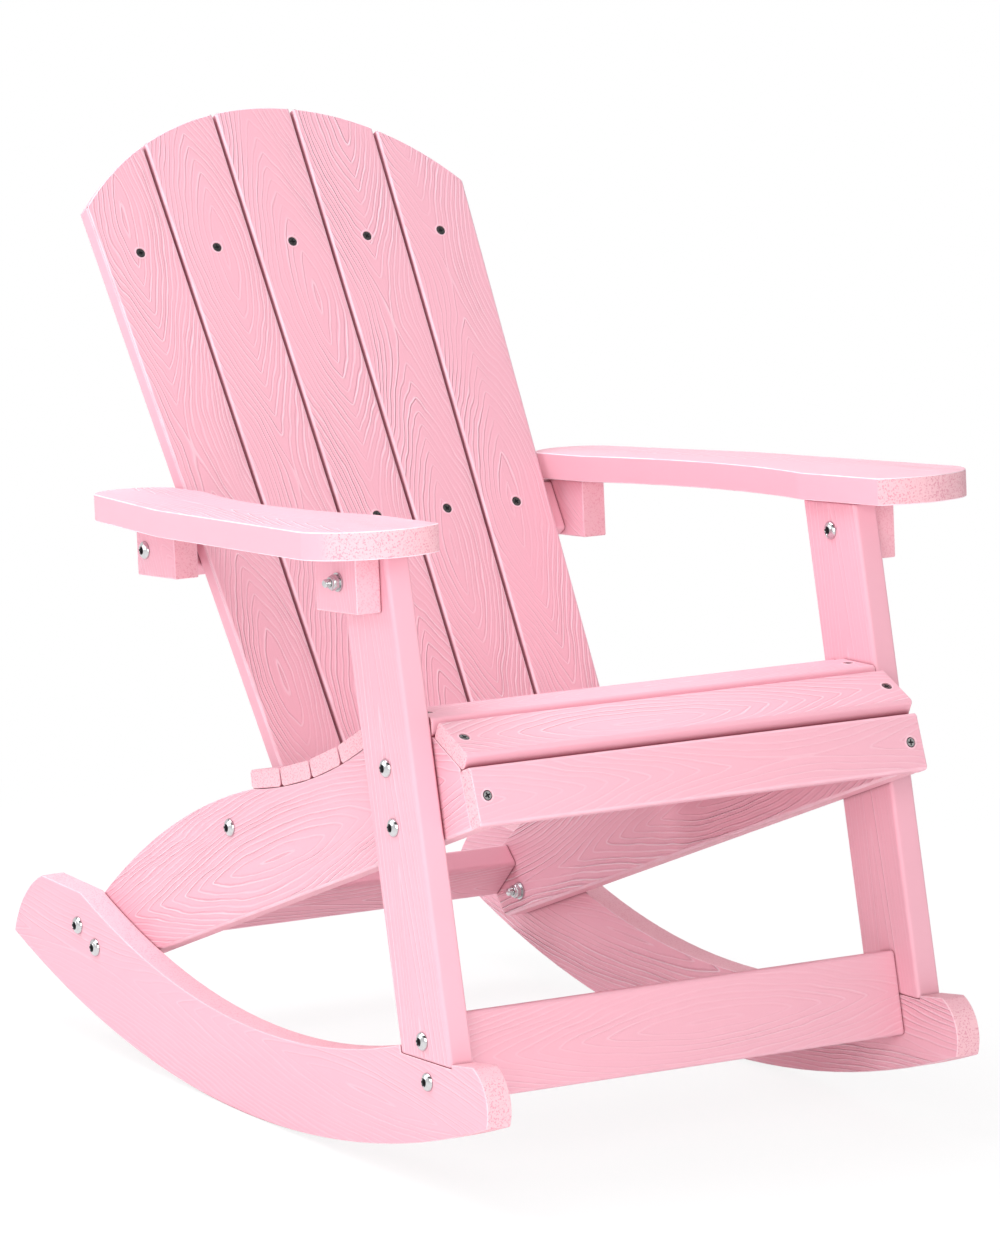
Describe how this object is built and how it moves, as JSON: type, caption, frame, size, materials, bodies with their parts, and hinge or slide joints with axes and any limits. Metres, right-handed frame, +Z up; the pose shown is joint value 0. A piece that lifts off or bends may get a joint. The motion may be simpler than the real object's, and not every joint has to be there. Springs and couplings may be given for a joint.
{
  "type": "rocking garden chair",
  "caption": "Child's rocking adirondack chair in pink plastic lumber, with a fanned slat back, a curved slat seat, flat armrests and sawn rockers.",
  "frame": {"origin": "on the floor, under the middle of the chair's bounding box", "axes": "+Z up, the chair faces -Y, +X is the sitter's left-hand side"},
  "size_m": [0.56, 0.6951, 0.6894],
  "materials": {
    "pink_lumber": "embossed wood grain, satin",
    "bolt_steel": "polished",
    "nut_steel": "plated",
    "screw_steel": "plated, darker"
  },
  "bodies": {
    "root": {"apron_screws": "screw_steel", "arm_block_bolts": "bolt_steel", "arm_bracket_bolts": "bolt_steel", "armrest_left": "pink_lumber", "armrest_right": "pink_lumber", "armrest_screws": "screw_steel", "back_lower_rail": "pink_lumber", "back_middle_rail": "pink_lumber", "back_rail_bolts": "bolt_steel", "back_screws": "screw_steel", "back_slat_1": "pink_lumber", "back_slat_2": "pink_lumber", "back_slat_3": "pink_lumber", "back_slat_4": "pink_lumber", "back_slat_5": "pink_lumber", "back_top_cleat": "pink_lumber", "barrel_nuts": "nut_steel", "crossbar_bolts": "bolt_steel", "front_apron": "pink_lumber", "front_arm_bracket_left": "pink_lumber", "front_arm_bracket_right": "pink_lumber", "front_leg_left": "pink_lumber", "front_leg_right": "pink_lumber", "front_stretcher": "pink_lumber", "leg_bolts": "bolt_steel", "lock_nuts": "nut_steel", "rear_arm_block_left": "pink_lumber", "rear_arm_block_right": "pink_lumber", "rear_crossbar": "pink_lumber", "rocker_bolts": "bolt_steel", "rocker_left": "pink_lumber", "rocker_right": "pink_lumber", "seat_rail_left": "pink_lumber", "seat_rail_right": "pink_lumber", "seat_screws": "screw_steel", "seat_slat_1": "pink_lumber", "seat_slat_2": "pink_lumber", "seat_slat_3": "pink_lumber", "seat_slat_4": "pink_lumber", "seat_slat_5": "pink_lumber", "seat_slat_6": "pink_lumber", "seat_slat_7": "pink_lumber", "stretcher_bolts": "bolt_steel", "washers": "nut_steel"}
  },
  "joints": []
}
